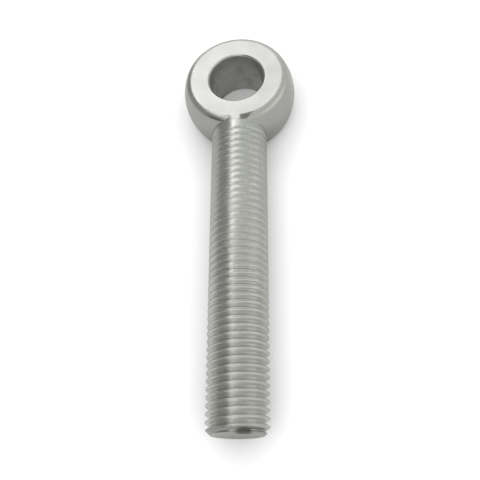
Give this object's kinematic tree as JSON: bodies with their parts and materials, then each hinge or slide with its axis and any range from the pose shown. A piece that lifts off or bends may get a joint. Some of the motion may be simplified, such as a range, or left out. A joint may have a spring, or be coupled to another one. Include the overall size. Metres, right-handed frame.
{
  "type": "eye bolt",
  "caption": "Ball-headed swing eye bolt: a flat-sided ball eye with a plain bore, on a straight shank that is threaded over its whole length.",
  "frame": {"origin": "centre of the ball eye, on the axis of its bore", "axes": "+X along the shank to the threaded end, +Z along the bore's axis, normal to the flats of the eye; the bolt lies on one flat of its eye with the shank level"},
  "size_m": [0.1165, 0.033, 0.016],
  "materials": {
    "steel": "satin stainless steel, finely turned and blasted, bright on the faced flats"
  },
  "bodies": {
    "root": {"eye_bolt": "steel"}
  },
  "joints": []
}
